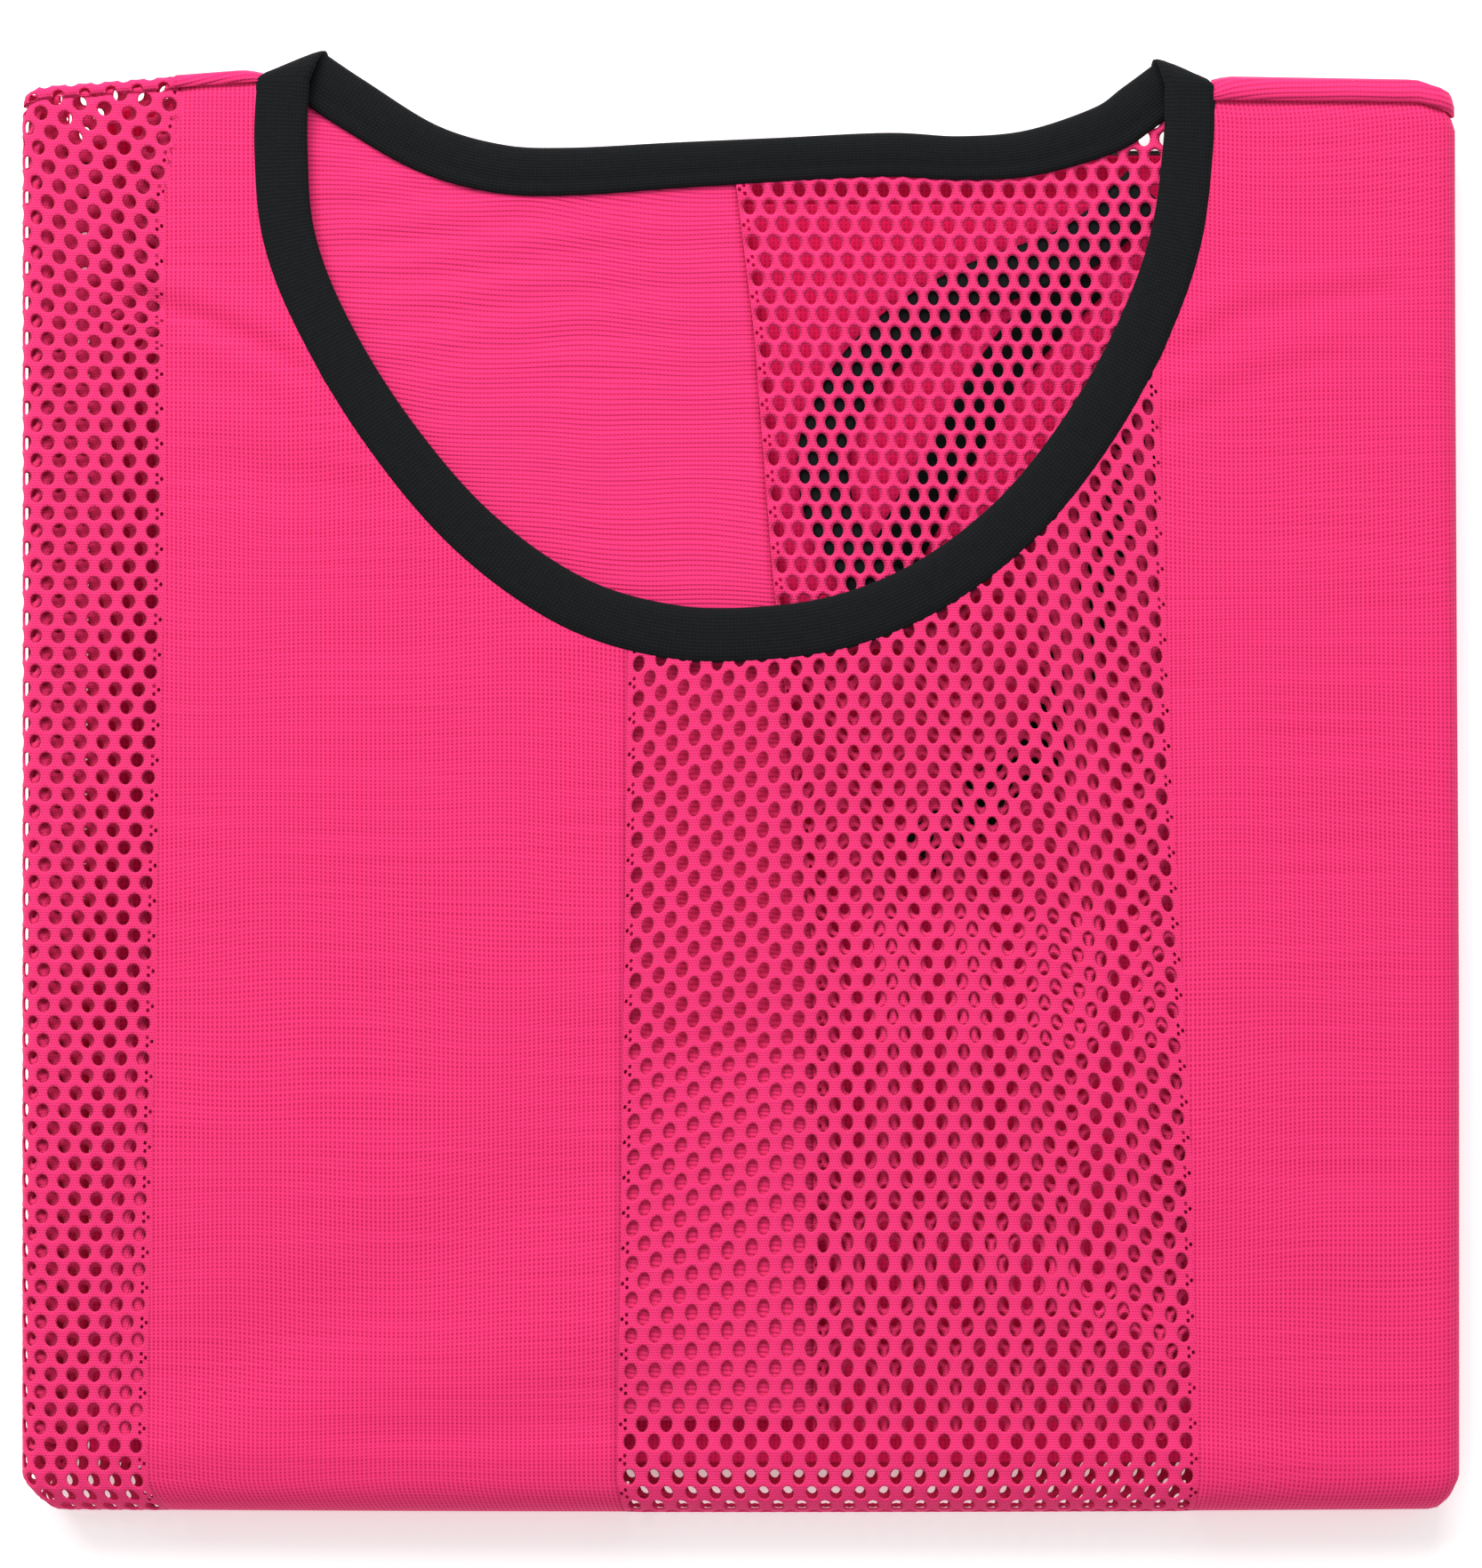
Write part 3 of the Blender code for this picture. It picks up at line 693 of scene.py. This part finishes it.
def make_hole_cell(name, width, pitch, hole):
    """Ring of cloth round one hole: top, rounded rim and underside."""
    outline = cell_outline(width, pitch)
    crown = oval(hole[0] + 0.75, hole[1] + 0.62)
    rim = oval(*hole)
    shape = bmesh.new()
    rings = []
    for ring, level in ((outline, 0.0), (crown, 0.10), (rim, -0.25), (outline, -CLOTH)):
        rings.append([shape.verts.new((x, y, level)) for x, y in ring])
    for outer, inner in zip(rings, rings[1:]):
        for k in range(12):
            shape.faces.new((outer[k], outer[(k + 1) % 12], inner[(k + 1) % 12], inner[k]))
    mesh = bpy.data.meshes.new(name)
    shape.to_mesh(mesh)
    shape.free()
    return bpy.data.objects.new(name, mesh)


def make_edge_cell(name, width, pitch):
    """Half a cell, closed but for three pores."""
    right = [(x, y) for x, y in cell_outline(width, pitch) if x > -0.01]
    right.sort(key=lambda corner: math.atan2(corner[1], corner[0]))
    pores = [[(x + a, y + b) for a, b in oval(0.75, 0.95, 6)]
             for x, y in ((0.55, 0.0), (1.45, 0.85), (1.45, -0.85))]
    shape = bmesh.new()
    for level, order in ((0.0, 1), (-CLOTH, -1)):
        edges = []
        for loop in [right] + pores:
            corners = [shape.verts.new((x, y, level)) for x, y in loop]
            edges += [shape.edges.new((a, b)) for a, b in zip(corners, corners[1:] + corners[:1])]
        filled = bmesh.ops.triangle_fill(shape, use_beauty=True, edges=edges)["geom"]
        faces = [item for item in filled if isinstance(item, bmesh.types.BMFace)]
        for face in faces:
            if face.normal.z * order < 0:
                face.normal_flip()
    mesh = bpy.data.meshes.new(name)
    shape.to_mesh(mesh)
    shape.free()
    return bpy.data.objects.new(name, mesh)

# %% The net as a node tree
def add_socket(tree, name, kind, value=None):
    socket = tree.interface.new_socket(name=name, in_out="INPUT", socket_type=kind)
    if value is not None:
        socket.default_value = value


def node(tree, kind, **inputs):
    """A node with some of its inputs set or joined by name."""
    made = tree.nodes.new(kind)
    for name, value in inputs.items():
        feed(tree, made.inputs[name.replace("_", " ")], value)
    return made


def lay_points(tree, sizes, columns, wide, keep_odd):
    """Points of the brick pattern: a full grid of cells, or the two edges of it."""
    rows_long = maths(tree, "MULTIPLY", maths(tree, "SUBTRACT", sizes["Rows"], 1.0), sizes["Row pitch"])
    grid = node(tree, "GeometryNodeMeshGrid", Size_X=wide, Size_Y=rows_long,
                Vertices_X=columns, Vertices_Y=sizes["Rows"])
    place = node(tree, "ShaderNodeSeparateXYZ", Vector=tree.nodes.new("GeometryNodeInputPosition").outputs[0])
    up = maths(tree, "ADD", place.outputs["Y"], maths(tree, "MULTIPLY", rows_long, 0.5))
    across = maths(tree, "ADD", place.outputs["X"], maths(tree, "MULTIPLY", wide, 0.5))
    row = maths(tree, "ROUND", maths(tree, "DIVIDE", up, sizes["Row pitch"]))
    odd = maths(tree, "MODULO", row, 2.0)
    if keep_odd:
        gone = maths(tree, "LESS_THAN", odd, 0.5)
    else:
        half = maths(tree, "MULTIPLY", sizes["Cell width"], 0.5)
        last = maths(tree, "GREATER_THAN", across, maths(tree, "SUBTRACT", wide, half))
        gone = maths(tree, "MULTIPLY", odd, last)
        across = maths(tree, "ADD", across, maths(tree, "MULTIPLY", maths(tree, "ADD", odd, 1.0), half))
    target = node(tree, "ShaderNodeCombineXYZ", X=across, Y=up)
    moved = node(tree, "GeometryNodeSetPosition", Position=target.outputs[0])
    thinned = tree.nodes.new("GeometryNodeDeleteGeometry")
    tree.links.new(grid.outputs[0], thinned.inputs["Geometry"])
    tree.links.new(gone, thinned.inputs["Selection"])
    tree.links.new(thinned.outputs[0], moved.inputs["Geometry"])
    return moved.outputs[0]


def make_net_tree():
    tree = bpy.data.node_groups.new("mesh_cloth_net", "GeometryNodeTree")
    tree.interface.new_socket(name="Geometry", in_out="OUTPUT", socket_type="NodeSocketGeometry")
    add_socket(tree, "Columns", "NodeSocketInt", 10)
    add_socket(tree, "Rows", "NodeSocketInt", 10)
    add_socket(tree, "Cell width", "NodeSocketFloat", 4.9)
    add_socket(tree, "Row pitch", "NodeSocketFloat", 3.65)
    add_socket(tree, "Hole cell", "NodeSocketObject")
    add_socket(tree, "Edge cell", "NodeSocketObject")
    add_socket(tree, "Cloth", "NodeSocketMaterial")
    sizes = tree.nodes.new("NodeGroupInput").outputs
    wide = maths(tree, "MULTIPLY", sizes["Columns"], sizes["Cell width"])
    wide_points = maths(tree, "SUBTRACT", wide, sizes["Cell width"])
    cells = lay_points(tree, sizes, sizes["Columns"], wide_points, False)
    edges = lay_points(tree, sizes, 2, wide, True)

    hole = node(tree, "GeometryNodeObjectInfo", Object=sizes["Hole cell"])
    net = node(tree, "GeometryNodeInstanceOnPoints", Points=cells, Instance=hole.outputs["Geometry"])
    side = node(tree, "GeometryNodeObjectInfo", Object=sizes["Edge cell"])
    place = node(tree, "ShaderNodeSeparateXYZ", Vector=tree.nodes.new("GeometryNodeInputPosition").outputs[0])
    right_side = maths(tree, "GREATER_THAN", place.outputs["X"], 0.01)
    turned = node(tree, "ShaderNodeCombineXYZ", Z=maths(tree, "MULTIPLY", right_side, math.pi))
    rims = node(tree, "GeometryNodeInstanceOnPoints", Points=edges, Instance=side.outputs["Geometry"],
                Rotation=turned.outputs[0])
    both = tree.nodes.new("GeometryNodeJoinGeometry")
    tree.links.new(net.outputs[0], both.inputs[0])
    tree.links.new(rims.outputs[0], both.inputs[0])
    real = node(tree, "GeometryNodeRealizeInstances", Geometry=both.outputs[0])
    joined = node(tree, "GeometryNodeMergeByDistance", Geometry=real.outputs[0], Distance=0.02)
    dyed = node(tree, "GeometryNodeSetMaterial", Geometry=joined.outputs[0], Material=sizes["Cloth"])
    out = tree.nodes.new("NodeGroupOutput")
    tree.links.new(dyed.outputs[0], out.inputs[0])
    return tree


net_tree = make_net_tree()


def run_tree(tree, carrier, values):
    """Runs a node tree on an object and gives the result as a plain mesh."""
    bpy.context.scene.collection.objects.link(carrier)
    modifier = carrier.modifiers.new(tree.name, "NODES")
    modifier.node_group = tree
    for socket in tree.interface.items_tree:
        if socket.in_out == "INPUT" and socket.name in values:
            modifier[socket.identifier] = values[socket.name]
    carrier.update_tag()
    depsgraph = bpy.context.evaluated_depsgraph_get()
    mesh = bpy.data.meshes.new_from_object(carrier.evaluated_get(depsgraph))
    bpy.data.objects.remove(carrier)
    return mesh

# %% Nets folded onto the bib
ARCH_X = (-25.0, -8.0, 8.0, 22.0, 45.0, 62.0, 78.0, 93.0)
ARCH_RISE = (0.0, 4.2, 7.2, 7.9, 7.9, 7.2, 4.6, 0.8)


def arched_rows(u, v):
    """Rows rise to the right, level out and fall again, and lie straight near the bottom fold."""
    return np.interp(u, ARCH_X, ARCH_RISE) * ease((v - 12.0) / 55.0)


def sloping_rows(u, v):
    """Rows of the left stripe fall to the right near the shoulder."""
    return -0.2 * (u + 150.0) * ease((v - 226.0) / 30.0)


def straight_rows(u, v):
    return 0.0


def mesh_stripe(name, place, left, right, start, end, columns, pitch, hole, opening,
                limit=None, bow=straight_rows):
    """Net between two edges, from start to end along the cloth."""
    rows = int(round(abs(end - start) / pitch)) + 1
    wide = abs(float(right((start + end) / 2) - left((start + end) / 2))) / columns
    hole_cell = make_hole_cell(name + "_hole", wide, pitch, hole)
    edge_cell = make_edge_cell(name + "_edge", wide, pitch)
    carrier = bpy.data.objects.new(name + "_net", bpy.data.meshes.new(name + "_net"))
    mesh = run_tree(net_tree, carrier, {
        "Columns": columns, "Rows": rows, "Cell width": wide, "Row pitch": pitch,
        "Hole cell": hole_cell, "Edge cell": edge_cell, "Cloth": mesh_cloth})
    points = np.empty(len(mesh.vertices) * 3)
    mesh.vertices.foreach_get("co", points)
    points = points.reshape(-1, 3)
    share = points[:, 0] / (wide * columns)
    v = start + math.copysign(1, end - start) * points[:, 1]
    u = left(v) + (right(v) - left(v)) * share
    v = v + bow(u, v)
    if limit is not None:
        v = np.minimum(v, limit(u))
    if place is back_place:
        v = np.maximum(v, 0.0)
    v = np.maximum(v, FRONT_BOTTOM)
    places = place(u, v, -points[:, 2])
    mesh.vertices.foreach_set("co", (places * MM).ravel())
    write_cloth_map(mesh, np.stack((u, v), axis=-1))
    shape = bmesh.new()
    shape.from_mesh(mesh)
    centres = np.array([face.calc_center_median() for face in shape.faces]) / MM
    areas = np.array([face.calc_area() for face in shape.faces])
    gone = inside_outline(centres[:, 0], centres[:, 1], opening) & (centres[:, 2] > STACK - 5)
    gone |= areas < 1e-10
    faces = list(shape.faces)
    bmesh.ops.delete(shape, geom=[faces[i] for i in np.nonzero(gone)[0]], context="FACES")
    shape.to_mesh(mesh)
    shape.free()
    piece = add_piece(name, mesh, mesh_cloth)
    print(name, len(mesh.polygons), "faces")
    return piece


FRONT_PITCH, BACK_PITCH = 3.65, 3.73
MIDDLE_HOLE, LEFT_HOLE = (2.25, 3.3), (2.4, 2.9)
BACK_MIDDLE_HOLE, BACK_LEFT_HOLE = (2.15, 3.1), (2.3, 2.8)
MIDDLE_COLUMNS = 24
SPLIT = -14.6                           # v where the upper piece of the middle net ends
front_mesh_middle = mesh_stripe(
    "front_mesh_middle", front_place, middle_stripe_left, middle_stripe_right, SPLIT, 234.0,
    MIDDLE_COLUMNS, FRONT_PITCH, MIDDLE_HOLE, front_opening, None, arched_rows)
front_mesh_under = mesh_stripe(
    "front_mesh_under", front_place, middle_stripe_left, middle_stripe_right, SPLIT - FRONT_PITCH,
    FRONT_BOTTOM - 3, MIDDLE_COLUMNS, FRONT_PITCH, MIDDLE_HOLE, front_opening)
front_mesh_left = mesh_stripe(
    "front_mesh_left", front_place, constant(FRONT_END), left_stripe_edge, FRONT_BOTTOM,
    FRONT_TOP + 6, 9, FRONT_PITCH, LEFT_HOLE, front_opening, to_seam, sloping_rows)
back_mesh_middle = mesh_stripe(
    "back_mesh_middle", back_place, back_stripe_left, constant(99.8), 4.0, BACK_LONG, 23,
    BACK_PITCH, BACK_MIDDLE_HOLE, back_opening)
back_mesh_left = mesh_stripe(
    "back_mesh_left", back_place, constant(BACK_END_LEFT), constant(-117.6), 0.0, BACK_LONG, 8,
    FRONT_PITCH, BACK_LEFT_HOLE, back_opening)

# %% [markdown]
# ## Neck binding
#
# The binding is a strip of black knit folded over the raw edge and sewn down. Its free edge is a
# soft roll and its sewn edge is a thin flange, so the section is drawn once like that and swept
# round the neck: down the left of the front, round, up over the right shoulder and back behind.

# %% Sweep the binding
BINDING_WALL = 2.0
SHOULDER_BULGE = 3.0
SECTION = smooth_line((
    # across, up
    (-0.50, -0.06), (-0.49, 0.14), (-0.42, 0.30), (-0.33, 0.36), (-0.25, 0.35), (-0.19, 0.37),
    (-0.10, 0.47), (0.04, 0.52), (0.20, 0.52), (0.34, 0.44), (0.45, 0.28), (0.50, 0.0),
    (0.46, -0.28), (0.34, -0.44), (0.16, -0.50), (-0.08, -0.48), (-0.30, -0.40), (-0.46, -0.30),
), 1)


def strip_stations(rows, steps, free_side):
    """Middle, direction of the free edge and width along a level stretch."""
    line = smooth_line(rows, steps)
    ahead = np.gradient(line[:, :2], axis=0)
    angle = np.arctan2(ahead[:, 1], ahead[:, 0]) + free_side * math.pi / 2
    middle = np.column_stack((line[:, :2], STACK - line[:, 3]))
    return [(m, a, w) for m, a, w in zip(middle, angle, line[:, 2])]


def shoulder_turn(start, end, steps):
    """Stations over a shoulder, from one level stretch to the next."""
    turn = (end[1] - start[1] + math.pi) % (2 * math.pi) - math.pi
    stations = []
    for k in range(1, steps):
        share = k / steps
        middle = start[0] + (end[0] - start[0]) * share
        middle[1] += SHOULDER_BULGE * math.sin(math.pi * share)
        middle[2] = (start[0][2] + end[0][2]) / 2
        middle[2] += (start[0][2] - end[0][2]) / 2 * math.cos(math.pi * share)
        stations.append((middle, start[1] + turn * share, start[2] + (end[2] - start[2]) * share))
    return stations


def sweep_binding():
    front = strip_stations(NECK_FRONT, 8, 1)
    back = strip_stations(NECK_BACK, 8, -1)
    stations = front + shoulder_turn(front[-1], back[0], 12) + back + shoulder_turn(back[-1], front[0], 12)
    middles = np.array([station[0] for station in stations])
    ahead = np.roll(middles, -1, axis=0) - np.roll(middles, 1, axis=0)
    ahead /= np.linalg.norm(ahead, axis=1)[:, None]
    angles = np.array([station[1] for station in stations])
    widths = np.array([station[2] for station in stations])
    across = np.column_stack((np.cos(angles), np.sin(angles), np.zeros(len(angles))))
    up = np.cross(across, ahead)
    up /= np.linalg.norm(up, axis=1)[:, None]
    ring = np.array(SECTION)
    places = (middles[:, None] + across[:, None] * (widths[:, None] * ring[:, 0])[..., None]
              + up[:, None] * (BINDING_WALL * ring[:, 1])[None, :, None])
    return places


def closed_skin(name, places):
    """Mesh of rings that close both ways, with its flat coordinates."""
    stations, corners = places.shape[:2]
    steps = np.linalg.norm(np.roll(places, -1, axis=0) - places, axis=2).mean(axis=1)
    along = np.concatenate(((0.0,), np.cumsum(steps)))
    around = np.concatenate(((0.0,), np.cumsum(np.linalg.norm(
        np.roll(places[0], -1, axis=0) - places[0], axis=1))))
    faces, flat = [], []
    for i in range(stations):
        j = (i + 1) % stations
        for k in range(corners):
            m = (k + 1) % corners
            faces.append((i * corners + k, j * corners + k, j * corners + m, i * corners + m))
            flat += [(along[i], around[k]), (along[i + 1], around[k]),
                     (along[i + 1], around[k + 1]), (along[i], around[k + 1])]
    mesh = bpy.data.meshes.new(name)
    mesh.from_pydata((places.reshape(-1, 3) * MM).tolist(), [], faces)
    mesh.uv_layers.new(name="cloth").data.foreach_set("uv", np.array(flat, np.float32).ravel())
    shape = bmesh.new()
    shape.from_mesh(mesh)
    bmesh.ops.recalc_face_normals(shape, faces=shape.faces)
    shape.to_mesh(mesh)
    shape.free()
    return mesh


binding_skin = closed_skin("neck_binding_cloth", sweep_binding())
neck_binding = add_piece("neck_binding_cloth", binding_skin, binding_cloth)
print("neck binding", len(binding_skin.polygons), "faces")

# %% [markdown]
# ## Hem
#
# The lower half is folded up behind, so the two hems, front and back, lie together near the top on
# the underside. They are folded strips like the neck binding, and follow the panel round the side
# folds, so they are made on the panel's own function.

# %% Hem bindings
def hem_binding(name, outer, wall, top):
    levels = np.array(((0.0, 0.5), (0.04, 0.12), (0.12, 0.0), (0.45, 0.0), (0.62, 0.08), (0.70, 0.02),
                       (0.9, 0.0), (0.97, 0.12), (1.0, 0.5), (0.97, 0.88), (0.9, 1.0), (0.5, 1.0),
                       (0.12, 1.0), (0.04, 0.88)))
    end = FLAT_RIGHT + math.pi * (ROLL - outer) + FRONT_FLAP - 1.0
    u = np.linspace(-end - 0.6, end, 140)
    share, level = levels[:, 0], outer + wall * levels[:, 1]
    v = -UNDER - (top - HEM_WIDTH * (1 - share) - FOLD_LINE)
    grid_u, grid_v = np.meshgrid(u, np.append(v, v[0]), indexing="ij")
    depth = np.broadcast_to(np.append(level, level[0]), grid_u.shape)
    places = front_place(grid_u, grid_v, depth)
    mesh = grid_mesh(name, places, np.stack((grid_u, grid_v), axis=-1))
    shape = bmesh.new()
    shape.from_mesh(mesh)
    bmesh.ops.remove_doubles(shape, verts=shape.verts, dist=1e-6)
    bmesh.ops.holes_fill(shape, edges=[edge for edge in shape.edges if edge.is_boundary])
    bmesh.ops.recalc_face_normals(shape, faces=shape.faces)
    shape.to_mesh(mesh)
    shape.free()
    return add_piece(name, mesh, binding_cloth)


hem_front = hem_binding("hem_binding_front_cloth", 0.0, 2.0, HEM_TOP)
hem_back = hem_binding("hem_binding_back_cloth", 2.3, 1.2, HEM_TOP - 0.8)

# %% [markdown]
# ## Floor, light and camera
#
# The picture is a cut-out on white, taken from straight above under broad soft light. A pale
# floor, a white sky and one large lamp beyond the top of the bib give that: the lamp is what
# draws the creases.

# %% Studio
FLOOR_GLOW, SKY_LIGHT, LAMP_POWER = 0.30, 0.62, 36.0
floor_mesh = bpy.data.meshes.new("studio_floor")
floor_mesh.from_pydata([(-4, -4, 0), (4, -4, 0), (4, 4, 0), (-4, 4, 0)], [], [(0, 1, 2, 3)])
floor = bpy.data.objects.new("studio_floor", floor_mesh)
bpy.context.scene.collection.objects.link(floor)
floor_paint, _, _ = new_material("pale_floor", (0.93, 0.93, 0.93, 1.0), 0.9, 0.0)
floor_glow = floor_paint.node_tree.nodes["Principled BSDF"].inputs
floor_glow["Emission Color"].default_value = (1.0, 1.0, 1.0, 1.0)
floor_glow["Emission Strength"].default_value = FLOOR_GLOW
floor_mesh.materials.append(floor_paint)
floor.location.z = cad_low.z - 0.0004

sky = bpy.data.worlds.new("soft_white_sky")
sky.use_nodes = True
sky.node_tree.nodes["Background"].inputs["Color"].default_value = (1.0, 1.0, 1.0, 1.0)
sky.node_tree.nodes["Background"].inputs["Strength"].default_value = SKY_LIGHT
bpy.context.scene.world = sky

lamp_data = bpy.data.lights.new("soft_window", "AREA")
lamp_data.shape = "RECTANGLE"
lamp_data.size, lamp_data.size_y = 1.6, 0.9
lamp_data.energy = LAMP_POWER
lamp = bpy.data.objects.new("soft_window", lamp_data)
lamp.location = (-0.35, 1.25, 1.15)
lamp.rotation_euler = (math.radians(-47), 0.0, math.radians(15))
bpy.context.scene.collection.objects.link(lamp)

# %% Camera straight above, as far as the picture's frame says
VIEW_HIGH = 325.5                       # height of the picture at the top of the stack
LENS, SENSOR = 100.0, 36.0
camera_data = bpy.data.cameras.new("camera")
camera_data.lens = LENS
camera_data.sensor_width = SENSOR
camera = bpy.data.objects.new("camera", camera_data)
camera.location = (-0.3 * MM, -0.2 * MM, (STACK + VIEW_HIGH * LENS / SENSOR) * MM)
bpy.context.scene.collection.objects.link(camera)
bpy.context.scene.camera = camera
bpy.context.scene.view_settings.view_transform = "Standard"

# %% [markdown]
# ## The pieces on the body
#
# Each piece rides on the one body, and the solids that the cloth replaces are hidden. The folded
# layers and the armholes take cloth finishes, and the flat area of each sheet's cloth is worked out.

# %% Body, solids and flat areas
def flat_area(piece):
    """Area of the piece's cloth when it lay flat, in square metres."""
    mesh = piece.data
    corners = np.empty(len(mesh.loops) * 2, np.float32)
    mesh.uv_layers["cloth"].data.foreach_get("uv", corners)
    corners = corners.reshape(-1, 2)
    total = 0.0
    for face in mesh.polygons:
        ring = corners[face.loop_start:face.loop_start + face.loop_total]
        following = np.roll(ring, -1, axis=0)
        total += abs(float((ring[:, 0] * following[:, 1] - ring[:, 1] * following[:, 0]).sum())) / 2
    return total * MM * MM


pink_pieces = [front_knit_left, front_knit_right, back_knit_left, back_knit_right,
               front_mesh_middle, front_mesh_under, front_mesh_left, back_mesh_middle, back_mesh_left]
black_pieces = [neck_binding, hem_front, hem_back]
for piece in pink_pieces + black_pieces:
    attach(piece, "root")

for piece in (front_knit_left, front_knit_right, front_mesh_middle, front_mesh_under, front_mesh_left):
    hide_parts("front_panel")
for piece in (back_knit_left, back_knit_right, back_mesh_middle, back_mesh_left):
    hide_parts("back_panel")
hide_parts("neck_binding")
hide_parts("hem_binding_front")
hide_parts("hem_binding_back")

for name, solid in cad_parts.items():
    # The folded layers take the cloth coloured with painted shade.
    if name == "folded_layers":
        solid.data.materials.clear()
        solid.data.materials.append(inner_cloth_painted_shade)
    if name.startswith("armhole"):
        solid.data.materials.clear()
        solid.data.materials.append(binding_cloth)

for piece in pink_pieces:
    area = flat_area(piece)
    if "mesh" in piece.name:
        area = area / 2
